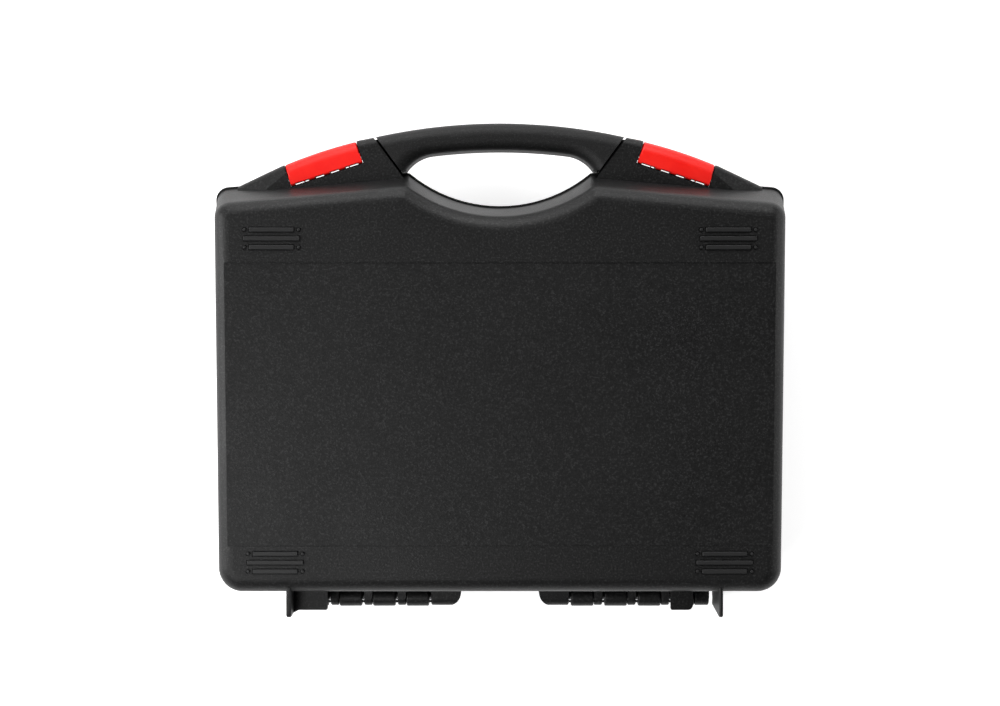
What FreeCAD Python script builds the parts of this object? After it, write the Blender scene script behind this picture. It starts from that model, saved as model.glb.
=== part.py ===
import FreeCAD, Part
import math
import os
from collections import namedtuple

Vector = FreeCAD.Vector

# A hard plastic tool case that lies on its back, with the lid on top. All lengths are millimetres.
# It is drawn with the handle towards +Y, the lid towards +Z and the parting plane at z = 0.
# Each finished piece is then turned half a turn about Z, so that the handle faces the front, -Y,
# and lifted, so that the feet under the base stand at z = 0.

# Shared small sizes
overrun = 6.0
smallest_corner = 0.8
joint_tolerance = 0.001

# Shell walls
wall = 2.5
shell_depth = 42.0
edge_round = 10.0
inner_edge_round = 7.5
rim_band_height = 3.0
rim_band_proud = 0.4
rim_band_round = 0.3
base_lip_proud = 0.5

# Outline of the rim at the parting plane
rim_half_width = 175.4
side_taper = 3.0
hinge_edge = 145.5
shoulder = 101.9
peak_rise = 9.4
peak_x = 57.2
scoop_drop = 11.4
scoop_radius = 87.8
hinge_corner = 16.0
top_corner = 8.0
peak_corner = 1.5

# How far the outer face lies inside the rim
side_draft = 4.4
hinge_draft = 2.7
shoulder_draft = 14.4
peak_draft = 13.0
scoop_draft = 10.0
face_hinge_corner = 14.0
face_top_corner = 10.5
face_peak_corner = 10.5

# Recessed label panel on each outer face
panel_depth = 0.6
panel_top_drop = 47.8
panel_bottom_rise = 30.2

# Foot pads on each outer face: three bars and four dots
pad_height = 1.3
pad_margin = 39.1
pad_taper = 2.3
upper_pad_drop = 33.6
lower_pad_rise = 20.5
pad_bar_length = 33.5
pad_short_bar_length = 26.6
pad_bar_width = 2.5
pad_bar_pitch = 5.25
pad_dot_x = 16.2
pad_dot_radius = 0.95
pad_round = 0.4
pad_sink = 1.0
pad_groove_width = 0.55
pad_groove_depth = 0.6

# Handle: a bow over the scoop, in two hollow halves
handle_rise = 39.4
handle_end_rise = 31.0
handle_half_length = 76.4
handle_under_rise = 22.9
handle_under_knee_x = 42.0
handle_under_knee_rise = 20.3
handle_under_bend_x = 51.5
handle_under_bend_rise = 16.6
handle_tip_x = 57.6
handle_tip_rise = 10.6
handle_root_x = 61.2
handle_root_rise = 10.2
handle_half_thickness = 14.5
handle_round = 8.0
handle_inner_round = 5.5
handle_wall = 2.6
handle_groove = 1.2
handle_proud = 0.5
groove_web_drop = 1.0
groove_web_bury = 3.0

# Ridge on each side of the handle, which carries the latches
ridge_half_thickness = 13.0
ridge_round = 5.0
ridge_inner_length = 8.8
ridge_seat_run = 47.6
ridge_seat_fall = 15.7
ridge_tip_fall = 1.7
ridge_outer_run = 27.2
ridge_bury = 8.0
facet_start_x = 132.4
facet_start_rise = 7.2
facet_turn = 40.0
facet_slope = 24.0

# Latch and its notch, in the slope of the ridge
latch_length = 45.9
latch_end_gap = 0.45
latch_height = 14.8
latch_bulge = 0.9
latch_barrel_corner = 1.2
latch_wall = 1.8
latch_round = 7.0
latch_floor_gap = 0.9
latch_barrel_radius = 2.8
latch_end_round = 1.2
latch_far_lip = 6.8
latch_window_lengths = (5.6, 2.4, 5.8, 5.8, 2.4, 5.6)
latch_tab_lengths = (0.6, 3.9, 3.9, 3.9, 0.6)
latch_window_height = 1.6
latch_pin_radius = 1.25
latch_pin_fit = 0.1
latch_pin_seat = 2.0
base_notch_rise = 2.0
catch_height = 9.1
catch_bar_height = 2.0
catch_bar_width = 2.4
catch_gap = 0.6
catch_half_length = 18.0
catch_post_width = 3.0
catch_post_pitch = 9.8

# Hinge along the edge away from the handle
knuckle_radius = 5.3
knuckle_clearance = 0.4
hinge_pin_radius = 1.75
hinge_pin_fit = 0.1
hinge_margin = 151.4
end_knuckle_length = 18.4
end_knuckle_round = 9.0
knuckle_gap = 1.4
knuckle_notch = 0.3
knuckle_round = 1.0
lid_knuckle_drop = 0.5
wide_knuckle = 13.95
narrow_knuckle = 5.05
last_knuckle = 8.8
knuckle_pairs = 3
pin_start_setback = 4.0
pin_end_setback = 0.5
parting_gap = 0.5
ledge_reach = 9.8
ledge_gap = 0.7
ledge_thickness = 3.0
ledge_overlap = 4.0

# Fins and cross feet on which the case stands upright
foot_reach = 12.9
foot_inner_reach = 10.4
foot_setback = 3.0
foot_flat = 6.0
foot_round = 2.5
fin_edge_round = 0.9
left_lid_fin_thickness = 3.0
right_lid_fin_thickness = 2.4
base_fin_thickness = 2.4
left_lid_fin_margin = 48.9
right_lid_fin_margin = 43.0
left_base_fin_margin = 44.9
right_base_fin_margin = 38.4
cross_foot_reach = 10.3
cross_foot_thickness = 4.0
cross_foot_round = 3.0
cross_foot_small_round = 0.8
left_cross_foot_length = 17.4
left_cross_foot_margin = 53.3
right_cross_foot_length = 13.4
right_cross_foot_margin = 58.4
lid_cross_foot_z = 20.0
base_cross_foot_z = 30.0
foot_gusset = 2.4

# Tongue on the base rim, which enters a groove in the lid along both sides
tongue_height = 2.0
tongue_thickness = 1.0
tongue_fit = 0.3
tongue_hinge_margin = 25.0
tongue_top_margin = 20.0

# Ribs inside each shell: paired guides for divider plates
rib_thickness = 1.4
rib_depth = 5.0
top_rib_depth = 12.0
rib_centre_drop = 20.0
rib_slot = 2.4
rib_rim_margin = 7.0
long_slot_share = 0.545
short_slot_share = 0.33

# Screws that join the two handle halves and clamp them on the spigots of the base
screw_radius = 1.5
screw_fit = 0.05
screw_head_radius = 2.75
screw_head_height = 2.0
screw_recess = 2.6
screw_socket_radius = 1.25
screw_socket_depth = 1.2
boss_radius = 4.0
middle_screw_x = 20.0
screw_length = 20.0
screw_tip_room = 1.0
screw_head_room = 0.3
spigot_width = 8.0
spigot_reach = 18.0
spigot_bury = 5.0
spigot_gap = 0.2
spigot_top_gap = 1.0
spigot_wall_gap = 1.4
spigot_screw_reach = 12.0
spigot_turn = 19.0

# Places worked out from the sizes above
handle_top = shoulder + handle_rise
foot_bottom = -(hinge_edge + foot_reach)
centre_y = (handle_top + foot_bottom) / 2
parting_height = shell_depth + pad_height
hinge_y = -(hinge_edge + knuckle_radius + knuckle_clearance)
through = shell_depth + overrun
hinge_start = rim_half_width - hinge_margin
left_lid_fin_x = left_lid_fin_margin - rim_half_width
right_lid_fin_x = rim_half_width - right_lid_fin_margin
left_base_fin_x = left_base_fin_margin - rim_half_width
right_base_fin_x = rim_half_width - right_base_fin_margin
panel_top = shoulder - panel_top_drop
panel_bottom = -hinge_edge + panel_bottom_rise
pad_x = rim_half_width - pad_margin
upper_pad_y = shoulder - upper_pad_drop
lower_pad_y = -hinge_edge + lower_pad_rise
pad_base = shell_depth - pad_sink
pad_top = shell_depth + pad_height
groove_floor = shell_depth - pad_groove_depth
spigot_bottom = handle_half_thickness - handle_wall - spigot_wall_gap
up = Vector(0, 0, 1)
origin = Vector(0, 0, 0)


# Outlines

Outline = namedtuple(
    "Outline",
    "half_width taper hinge_edge shoulder peak_x peak scoop_low scoop_radius"
    " hinge_corner top_corner peak_corner",
)

rim = Outline(
    half_width=rim_half_width,
    taper=side_taper,
    hinge_edge=hinge_edge,
    shoulder=shoulder,
    peak_x=peak_x,
    peak=shoulder + peak_rise,
    scoop_low=shoulder - scoop_drop,
    scoop_radius=scoop_radius,
    hinge_corner=hinge_corner,
    top_corner=top_corner,
    peak_corner=peak_corner,
)

face = Outline(
    half_width=rim_half_width - side_draft,
    taper=side_taper,
    hinge_edge=hinge_edge - hinge_draft,
    shoulder=shoulder - shoulder_draft,
    peak_x=peak_x,
    peak=shoulder + peak_rise - peak_draft,
    scoop_low=shoulder - scoop_drop - scoop_draft,
    scoop_radius=scoop_radius + scoop_draft,
    hinge_corner=face_hinge_corner,
    top_corner=face_top_corner,
    peak_corner=face_peak_corner,
)


def inset(outline, amount):
    """The same outline, drawn inwards by an amount."""
    return outline._replace(
        half_width=outline.half_width - amount,
        hinge_edge=outline.hinge_edge - amount,
        shoulder=outline.shoulder - amount,
        peak=outline.peak - amount,
        scoop_low=outline.scoop_low - amount,
        scoop_radius=outline.scoop_radius + amount,
        hinge_corner=max(outline.hinge_corner - amount, smallest_corner),
        top_corner=max(outline.top_corner - amount, smallest_corner),
        peak_corner=max(outline.peak_corner - amount, smallest_corner),
    )


def corner_arc(corner, before, after, radius):
    """Start, middle and end of the arc that rounds a corner between two straight sides."""
    back = (before - corner).normalize()
    ahead = (after - corner).normalize()
    half_angle = back.getAngle(ahead) / 2
    bisector = (back + ahead).normalize()
    centre = corner + bisector * (radius / math.sin(half_angle))
    tangent = radius / math.tan(half_angle)
    return [corner + back * tangent, centre - bisector * radius, corner + ahead * tangent]


def peak_arc(start, peak, outline):
    """The arc between the top edge and the scoop, tangent to both."""
    radius = outline.peak_corner
    scoop_centre = Vector(0, outline.scoop_low + outline.scoop_radius, start.z)
    direction = (peak - start).normalize()
    inward = Vector(-direction.y, direction.x, 0)
    offset = start + inward * radius - scoop_centre
    along = offset.dot(direction)
    reach = outline.scoop_radius + radius
    travel = -along - math.sqrt(along ** 2 - offset.dot(offset) + reach ** 2)
    centre = start + inward * radius + direction * travel
    first = centre - inward * radius
    last = centre + (scoop_centre - centre).normalize() * radius
    middle = centre + (first + last - centre * 2).normalize() * radius
    return [first, middle, last]


def flipped(arc):
    """The arc's mirror image across the centre line, drawn the other way round."""
    return [Vector(-point.x, point.y, point.z) for point in reversed(arc)]


def outline_wire(outline, z):
    """Closed wire of a case outline at a height."""
    low = Vector(outline.half_width - outline.taper, -outline.hinge_edge, z)
    high = Vector(outline.half_width, outline.shoulder, z)
    peak = Vector(outline.peak_x, outline.peak, z)
    right = [
        corner_arc(low, Vector(0, low.y, z), high, outline.hinge_corner),
        corner_arc(high, low, peak, outline.top_corner),
        peak_arc(high, peak, outline),
    ]
    left = [flipped(arc) for arc in reversed(right)]
    scoop = [right[-1][-1], Vector(0, outline.scoop_low, z), left[0][0]]
    arcs = right + [scoop] + left
    edges = []
    for arc, following in zip(arcs, arcs[1:] + arcs[:1]):
        edges.append(Part.Arc(*arc).toShape())
        if not arc[-1].isEqual(following[0], joint_tolerance):
            edges.append(Part.makeLine(arc[-1], following[0]))
    return Part.Wire(edges)


def prism(outline, bottom, top):
    """Straight block of a case outline between two heights."""
    return Part.Face(outline_wire(outline, bottom)).extrude(up * (top - bottom))


def edges_at_height(shape, z):
    """The edges of a shape that lie at one height."""
    found = []
    for edge in shape.Edges:
        box = edge.BoundBox
        if abs(box.ZMin - z) < joint_tolerance and abs(box.ZMax - z) < joint_tolerance:
            found.append(edge)
    return found


def drafted(low, high, height, radius):
    """Tapering block between two outlines, with its top edge rounded."""
    block = Part.makeLoft([outline_wire(low, 0), outline_wire(high, height)], True, True)
    return block.makeFillet(radius, edges_at_height(block, height))


# Simple solids

def block(x_range, y_range, z_range):
    """Box between two places on each axis."""
    x_low, x_high = sorted(x_range)
    y_low, y_high = sorted(y_range)
    z_low, z_high = sorted(z_range)
    size = (x_high - x_low, y_high - y_low, z_high - z_low)
    return Part.makeBox(*size, Vector(x_low, y_low, z_low))


def rod(start, end, radius):
    """Cylinder between two points."""
    path = end - start
    return Part.makeCylinder(radius, path.Length, start, path)


def plate(points, bottom, top):
    """Straight-sided plate between two heights."""
    corners = [Vector(x, y, bottom) for x, y in points]
    wire = Part.makePolygon(corners + corners[:1])
    return Part.Face(wire).extrude(up * (top - bottom))


def joined(shapes):
    """One solid made of shapes that touch or overlap."""
    return shapes[0].fuse(shapes[1:]).removeSplitter()


def mirrored(shape):
    """The shape's mirror image across the centre line of the case."""
    return shape.mirror(origin, Vector(1, 0, 0))


def both_sides(shape):
    """A shape and its mirror image."""
    return [shape, mirrored(shape)]


# Ridge and latch seat, for the side with x above zero

def rim_top(x):
    """Height of the rim's top edge at a place along it."""
    share = (rim.half_width - x) / (rim.half_width - rim.peak_x)
    return rim.shoulder + (rim.peak - rim.shoulder) * share


groove_angle = math.atan2(handle_end_rise - handle_root_rise, handle_half_length - handle_root_x)
groove_shift = handle_groove / math.sin(groove_angle)
ridge_tip = (handle_half_length + groove_shift, shoulder + handle_end_rise - handle_proud)
ridge_root = (
    handle_root_x + groove_shift - ridge_bury / math.tan(groove_angle),
    shoulder + handle_root_rise - ridge_bury,
)
ridge_brow = (ridge_tip[0] + ridge_inner_length, ridge_tip[1] - ridge_tip_fall)
ridge_knee = (ridge_brow[0] + ridge_seat_run, ridge_brow[1] - ridge_seat_fall)
ridge_foot_x = ridge_knee[0] + ridge_outer_run
ridge_foot = (ridge_foot_x, rim_top(ridge_foot_x) - rim_band_proud)
latch_slope = math.degrees(math.atan2(ridge_seat_fall, ridge_seat_run))
latch_pin_rise = latch_floor_gap + latch_barrel_radius
latch_pin_z = ridge_half_thickness - latch_barrel_radius


def ridge_outline():
    """Corners of one ridge, in order, with its lower side buried in the shell."""
    buried_foot = (ridge_foot[0], ridge_foot[1] - ridge_bury)
    return [ridge_root, ridge_tip, ridge_brow, ridge_knee, ridge_foot, buried_foot]


def facet_space(drop):
    """The space above the sloping facet at a ridge's outer end, lowered by a drop."""
    turn = math.radians(facet_turn)
    start = Vector(facet_start_x, shoulder + facet_start_rise, ridge_half_thickness - drop)
    along = Vector(math.cos(turn), -math.sin(turn), 0)
    outward = Vector(math.sin(turn), math.cos(turn), 0)
    fall = up * (-rim_half_width * math.tan(math.radians(facet_slope)))
    far = outward * rim_half_width
    corners = [start, start + far + fall, start + far + up * through, start + up * through]
    corners = [corner - along * rim_half_width for corner in corners]
    wire = Part.makePolygon(corners + corners[:1])
    return Part.Face(wire).extrude(along * (rim_half_width * 2))


def is_crest(edge):
    """Whether an edge of a ridge runs along its outer side, at the top."""
    crest = [Vector(x, y, 0) for x, y in (ridge_tip, ridge_brow, ridge_knee, ridge_foot)]
    ends = [vertex.Point for vertex in edge.Vertexes]
    flat_ends = [Vector(end.x, end.y, 0) for end in ends]
    if min(end.z for end in ends) < joint_tolerance:
        return False
    if flat_ends[0].distanceToPoint(flat_ends[1]) < joint_tolerance:
        return False
    path = Part.makePolygon(crest)
    return all(path.distToShape(Part.Vertex(end))[0] < joint_tolerance for end in flat_ends)


def ridge():
    """One ridge, solid, with a facet at its outer end and its upper edge rounded."""
    body = plate(ridge_outline(), 0, ridge_half_thickness).cut(facet_space(0))
    return body.makeFillet(ridge_round, [edge for edge in body.Edges if is_crest(edge)])


def ridge_pocket(clear_of):
    """The hollow of one ridge, open at the parting plane and clear of other walls."""
    corners = [Vector(x, y, 0) for x, y in ridge_outline()]
    wire = Part.makePolygon(corners + corners[:1]).makeOffset2D(-wall)
    depth = ridge_half_thickness - wall
    hollow = Part.Face(wire).extrude(up * depth)
    return hollow.cut(clear_of + [facet_space(wall)])


def tilted(shape):
    """Moves a shape from the latch seat's own axes, along, outwards and up, to the ridge."""
    seat_x = (ridge_brow[0] + ridge_knee[0]) / 2 - latch_height * math.sin(math.radians(latch_slope))
    seat_y = (ridge_brow[1] + ridge_knee[1]) / 2 - latch_height * math.cos(math.radians(latch_slope))
    moved = shape.copy()
    moved.rotate(origin, up, -latch_slope)
    moved.translate(Vector(seat_x, seat_y, 0))
    return moved


def notch(floor, margin):
    """The space cut from a ridge for the latch, grown by a margin at its ends and floor."""
    half_length = latch_length / 2 + latch_end_gap + margin
    height = latch_height + overrun
    depth = ridge_half_thickness + overrun
    return tilted(block((-half_length, half_length), (floor - margin, height), (-overrun, depth)))


def latch_pin():
    """The pin on which one latch turns, with its ends in the ridge of the lid."""
    half_length = latch_length / 2 + latch_end_gap + latch_pin_seat
    start = Vector(-half_length, latch_pin_rise, latch_pin_z)
    return tilted(rod(start, Vector(half_length, start.y, start.z), latch_pin_radius))


def catch():
    """The bar on the base, on posts, that the far side of a latch closes over."""
    outer = ridge_half_thickness - latch_wall - catch_gap
    depths = (outer - catch_bar_width, outer)
    rises = (catch_height - catch_bar_height, catch_height)
    parts = [block((-catch_half_length, catch_half_length), rises, depths)]
    for place in (-1, 0, 1):
        middle = place * catch_post_pitch
        width = (middle - catch_post_width / 2, middle + catch_post_width / 2)
        parts.append(block(width, (base_notch_rise - wall / 2, catch_height), depths))
    return tilted(joined(parts))


def groove_web():
    """The wall of the base that closes one groove beside the handle, below its surface."""
    root = Vector(handle_root_x, shoulder + handle_root_rise, 0)
    end = Vector(handle_half_length, shoulder + handle_end_rise, 0)
    along = (end - root).normalize()
    across = Vector(groove_shift + groove_web_bury, 0, 0)
    low = root - along * groove_web_bury
    high = end - along * groove_web_drop
    corners = [(point.x, point.y) for point in (low, high, high + across, low + across)]
    return plate(corners, 0, ridge_half_thickness - groove_web_drop)


# Hinge and feet

def knuckle_spans():
    """Start, end and owner of each knuckle on one side, from the middle outwards."""
    spans = [(hinge_start, hinge_start + end_knuckle_length, "lid")]
    start = spans[0][1] + knuckle_gap
    for pair in range(knuckle_pairs + 1):
        middle = start + wide_knuckle
        length = last_knuckle if pair == knuckle_pairs else narrow_knuckle
        end = middle + knuckle_notch + length
        spans.append((start, middle, "base"))
        spans.append((middle + knuckle_notch, end, "lid"))
        start = end + knuckle_gap
    return spans


def knuckle(start, end, radius):
    """One knuckle round the hinge line, with the web that joins it to its shell."""
    barrel = rod(Vector(start, hinge_y, 0), Vector(end, hinge_y, 0), radius)
    rims = [edge for edge in barrel.Edges if isinstance(edge.Curve, Part.Circle)]
    barrel = barrel.makeFillet(knuckle_round, rims)
    web = block((start, end), (hinge_y, -hinge_edge + wall), (parting_gap, knuckle_radius))
    return joined([barrel, web])


def end_knuckle(start, end, radius):
    """The knuckle nearest the middle, rounded off towards the middle."""
    plan = block((start, end), (hinge_y - knuckle_radius, -hinge_edge + wall), (-through, through))
    corners = []
    for edge in plan.Edges:
        box = edge.BoundBox
        if box.XMax - start < joint_tolerance and box.YMax - hinge_y < 0:
            corners.append(edge)
    return knuckle(start, end, radius).common(plan.makeFillet(end_knuckle_round, corners))


def knuckles(owner):
    """All knuckles of one shell, on both sides."""
    radius = knuckle_radius - (lid_knuckle_drop if owner == "lid" else 0)
    found = []
    for start, end, holder in knuckle_spans():
        if holder != owner:
            continue
        make = end_knuckle if start == hinge_start else knuckle
        found.extend(both_sides(make(start, end, radius)))
    return found


def hinge_ledge():
    """The ledge of the base that closes the gaps between the knuckles from below."""
    spans = knuckle_spans()
    last_base = [end for start, end, holder in spans if holder == "base"][-1]
    sides = (spans[0][1] - ledge_overlap, last_base)
    bottom = knuckle_radius + ledge_gap
    reach = (-hinge_edge - ledge_reach, -hinge_edge + wall)
    return block(sides, reach, (bottom, bottom + ledge_thickness))


def hinge_pin():
    """The pin of one side of the hinge."""
    start = Vector(hinge_start + pin_start_setback, hinge_y, 0)
    end = Vector(knuckle_spans()[-1][1] - pin_end_setback, hinge_y, 0)
    return rod(start, end, hinge_pin_radius)


def hinge_bore(fit):
    """The bore for one hinge pin, open at its outer end."""
    start = Vector(hinge_start + pin_start_setback - fit, hinge_y, 0)
    end = Vector(knuckle_spans()[-1][1] + overrun, hinge_y, 0)
    return rod(start, end, hinge_pin_radius + fit)


def fin(x, thickness):
    """One upright foot fin under the hinge edge of a shell."""
    inner = -(hinge_edge - ridge_bury)
    near = -(hinge_edge + foot_inner_reach)
    outer = shell_depth - foot_setback
    profile = [
        (inner, parting_gap),
        (near, parting_gap),
        (foot_bottom, outer - foot_flat),
        (foot_bottom, outer),
        (inner, outer),
    ]
    corners = [Vector(x - thickness / 2, y, z) for y, z in profile]
    wire = Part.makePolygon(corners + corners[:1])
    body = Part.Face(wire).extrude(Vector(thickness, 0, 0))
    tips = []
    for edge in body.Edges:
        box = edge.BoundBox
        at_tip = abs(box.YMin - foot_bottom) + abs(box.YMax - foot_bottom) < joint_tolerance
        if at_tip and abs(box.ZMin - outer) + abs(box.ZMax - outer) < joint_tolerance:
            tips.append(edge)
    body = body.makeFillet(foot_round, tips)
    outside = -(hinge_edge + foot_setback)
    edges = []
    for edge in body.Edges:
        box = edge.BoundBox
        on_side = box.XLength < joint_tolerance
        if on_side and box.YMin < outside and box.ZMax > parting_gap + joint_tolerance:
            edges.append(edge)
    return body.makeFillet(fin_edge_round, edges)


def corner_rounded(body, x, y, radius):
    """A plate with the upright edge at one place rounded."""
    found = []
    for edge in body.Edges:
        box = edge.BoundBox
        if box.ZLength > joint_tolerance and math.dist((box.XMin, box.YMin), (x, y)) < joint_tolerance:
            found.append(edge)
    return body.makeFillet(radius, found)


def cross_foot(margin, length, z, fin_face):
    """The foot plate across a shell, with a slope up to its fin or a rounded end."""
    end = rim_half_width - margin
    start = end - length
    inner = -(hinge_edge - ridge_bury)
    bottom = -(hinge_edge + cross_foot_reach)
    points = [(start, inner), (start, bottom), (end, bottom)]
    if fin_face is None:
        points.append((end, inner))
    else:
        points.append((fin_face, bottom - foot_gusset))
        points.append((fin_face, inner))
    body = plate(points, z, z + cross_foot_thickness)
    if fin_face is None:
        body = corner_rounded(body, end, bottom, cross_foot_round)
    return corner_rounded(body, start, bottom, cross_foot_small_round)


# Outer face

def pad_bar(x, y, length, as_groove):
    """One bar of a foot pad, or the space of the groove round it."""
    half_length = length / 2
    half_width = pad_bar_width / 2
    if as_groove:
        half_length += pad_groove_width
        half_width += pad_groove_width
    depths = (groove_floor, through) if as_groove else (pad_base, pad_top)
    body = block((x - half_length, x + half_length), (y - half_width, y + half_width), depths)
    if as_groove:
        return body
    upright = [edge for edge in body.Edges if edge.BoundBox.ZLength > pad_height]
    body = body.makeFillet(pad_round, upright)
    return body.makeFillet(pad_round, edges_at_height(body, pad_top))


def pad_dot(x, y, as_groove):
    """One dot of a foot pad, or the space of the groove round it."""
    if as_groove:
        radius = pad_dot_radius + pad_groove_width
        return Part.makeCylinder(radius, through - groove_floor, Vector(x, y, groove_floor))
    body = Part.makeCylinder(pad_dot_radius, pad_top - pad_base, Vector(x, y, pad_base))
    return body.makeFillet(pad_round, edges_at_height(body, pad_top))


def foot_pad(x, y, as_groove):
    """One foot pad: a long bar between two short ones, and four dots."""
    parts = [pad_bar(x, y, pad_bar_length, as_groove)]
    for row in (-1, 1):
        parts.append(pad_bar(x, y + row * pad_bar_pitch, pad_short_bar_length, as_groove))
        for end in (-1, 1):
            parts.append(pad_dot(x + end * pad_dot_x, y + row * pad_bar_pitch, as_groove))
    return parts


def foot_pads(as_groove):
    """The four foot pads of one outer face, or the grooves round their bars and dots."""
    parts = []
    for x, y in ((pad_x, upper_pad_y), (pad_x - pad_taper, lower_pad_y)):
        for part in foot_pad(x, y, as_groove):
            parts.extend(both_sides(part))
    return parts


def label_panel():
    """The shallow space cut from the outer face."""
    reach = rim_half_width + overrun
    depths = (shell_depth - panel_depth, shell_depth + overrun)
    return block((-reach, reach), (panel_bottom, panel_top), depths)


# Inside of a shell

def guide_ribs():
    """Paired ribs on the walls, between which divider plates slide."""
    bottom = rib_rim_margin
    offset = (rib_slot + rib_thickness) / 2
    ribs = []
    long_slot_x = rim_half_width * long_slot_share
    for x in (-long_slot_x, 0, long_slot_x):
        for side in (-offset, offset):
            width = (x + side - rib_thickness / 2, x + side + rib_thickness / 2)
            inner = -hinge_edge + rim_band_proud + wall + rib_depth
            ribs.append(block(width, (-hinge_edge, inner), (bottom, shell_depth)))
            if x:
                top = rim_top(abs(x))
                ribs.append(block(width, (top - wall - top_rib_depth, top), (bottom, shell_depth)))
    short_slot_y = hinge_edge * short_slot_share
    for y in (-short_slot_y - rib_centre_drop, short_slot_y - rib_centre_drop):
        for side in (-offset, offset):
            width = (y + side - rib_thickness / 2, y + side + rib_thickness / 2)
            inner = rim_half_width - side_taper - rim_band_proud - wall - rib_depth
            rib = block((inner, rim_half_width), width, (bottom, shell_depth))
            ribs.extend(both_sides(rib))
    return ribs


def side_strips(margin, bottom, top):
    """Two blocks along the side walls, which bound the tongue and its groove."""
    low = -hinge_edge + tongue_hinge_margin - margin
    high = shoulder - tongue_top_margin + margin
    inner = rim_half_width - side_taper - hinge_corner
    strip = block((inner, rim_half_width), (low, high), (bottom, top))
    return both_sides(strip)


def side_tongues():
    """The tongues on the rim of the base, along both side walls."""
    outer = inset(rim, rim_band_proud + wall - tongue_thickness)
    inner = inset(rim, rim_band_proud + wall)
    ring = prism(outer, -tongue_height, tongue_height)
    ring = ring.cut(prism(inner, -overrun, overrun))
    return [ring.common(strip) for strip in side_strips(0, -tongue_height, tongue_height)]


def side_grooves():
    """The grooves cut from the rim of the lid for the tongues."""
    outer = inset(rim, rim_band_proud + wall - tongue_thickness - tongue_fit)
    space = prism(outer, -overrun, tongue_height + tongue_fit)
    strips = side_strips(tongue_fit, -overrun, tongue_height + tongue_fit)
    return [space.common(strip) for strip in strips]


# The two shells

def shell_outside(rim_outline, face_outline):
    """Solid outer form of one half of the case, without ridges or hinge."""
    body = drafted(inset(rim_outline, rim_band_proud), face_outline, shell_depth, edge_round)
    band = prism(rim_outline, 0, rim_band_height)
    band = band.makeFillet(rim_band_round, edges_at_height(band, rim_band_height))
    return joined([body, band])


def shell_inside(rim_outline, face_outline):
    """The space inside one half of the case."""
    low = inset(rim_outline, rim_band_proud + wall)
    high = inset(face_outline, wall)
    return drafted(low, high, shell_depth - wall, inner_edge_round)


def half_case(rim_outline, face_outline, owner, notch_floor, fins, cross_feet, solid_tip):
    """One half of the case, with its ridges, hinge knuckles, feet and guide ribs."""
    outside = shell_outside(rim_outline, face_outline)
    liners = both_sides(notch(notch_floor, wall))
    inside = shell_inside(rim_outline, face_outline).cut(liners + guide_ribs())
    keep = [outside, notch(notch_floor, wall)]
    if solid_tip:
        keep.append(block((0, ridge_brow[0]), (0, handle_top), (-overrun, through)))
    pockets = both_sides(ridge_pocket(keep))
    body = joined([outside.cut(foot_pads(True))] + foot_pads(False))
    body = joined([body] + both_sides(ridge()))
    body = joined([body] + knuckles(owner))
    body = joined([body] + fins + cross_feet)
    return body.cut([inside, label_panel()] + pockets + both_sides(notch(notch_floor, 0)))


def lid_shell():
    """The lid, the photographed half of the case."""
    fins = [
        fin(left_lid_fin_x, left_lid_fin_thickness),
        fin(right_lid_fin_x, right_lid_fin_thickness),
    ]
    left_foot = cross_foot(
        left_cross_foot_margin, left_cross_foot_length, lid_cross_foot_z, -left_lid_fin_x
    )
    right_foot = cross_foot(
        right_cross_foot_margin, right_cross_foot_length, lid_cross_foot_z, None
    )
    cross_feet = [mirrored(left_foot), right_foot]
    body = half_case(rim, face, "lid", 0, fins, cross_feet, False)
    bores = both_sides(hinge_bore(hinge_pin_fit)) + both_sides(latch_pin())
    return body.cut(bores + side_grooves())


def base_shell():
    """The base, which carries the handle, the catches and the hinge pins."""
    lip = rim._replace(
        scoop_low=rim.scoop_low + base_lip_proud,
        scoop_radius=rim.scoop_radius - base_lip_proud,
    )
    fins = [
        fin(left_base_fin_x, base_fin_thickness),
        fin(right_base_fin_x, base_fin_thickness),
    ]
    left_foot = cross_foot(
        left_cross_foot_margin, left_cross_foot_length, base_cross_foot_z, None
    )
    right_foot = cross_foot(
        right_cross_foot_margin, right_cross_foot_length, base_cross_foot_z, None
    )
    cross_feet = [mirrored(left_foot), right_foot]
    body = half_case(lip, face, "base", base_notch_rise, fins, cross_feet, True)
    arms = both_sides(spigot(0, spigot_top_gap))
    webs = both_sides(groove_web()) + both_sides(hinge_ledge())
    body = joined([body] + both_sides(catch()) + arms + webs + side_tongues())
    screw_holes = [screw_space(x, y) for x, y in screw_places()]
    body = body.cut(both_sides(hinge_bore(0)) + [hole.mirror(origin, up) for hole in screw_holes])
    return body.mirror(origin, up)


# Handle

def spigot_axis(reach):
    """A place on the middle line of one spigot, at a distance from the handle's end."""
    start_x = (handle_half_length + handle_root_x) / 2
    start_y = shoulder + (handle_end_rise + handle_root_rise) / 2
    turn = math.radians(spigot_turn)
    return (start_x - reach * math.cos(turn), start_y + reach * math.sin(turn))


def spigot(gap, bottom):
    """The arm of the base that enters one end of the handle, grown by a gap."""
    half_width = spigot_width / 2 + gap
    lengths = (-spigot_reach - gap, handle_groove + spigot_bury)
    arm = block(lengths, (-half_width, half_width), (bottom, spigot_bottom + gap))
    arm.rotate(origin, up, -spigot_turn)
    x, y = spigot_axis(0)
    arm.translate(Vector(x, y, 0))
    return arm


def screw_places():
    """Places of the four screws: one in each spigot and two near the middle of the handle."""
    spigot_x, spigot_y = spigot_axis(spigot_screw_reach)
    middle_y = shoulder + (handle_rise + handle_under_rise) / 2
    return [
        (spigot_x, spigot_y),
        (-spigot_x, spigot_y),
        (middle_screw_x, middle_y),
        (-middle_screw_x, middle_y),
    ]


screw_seat = -(handle_half_thickness - screw_recess)


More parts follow.
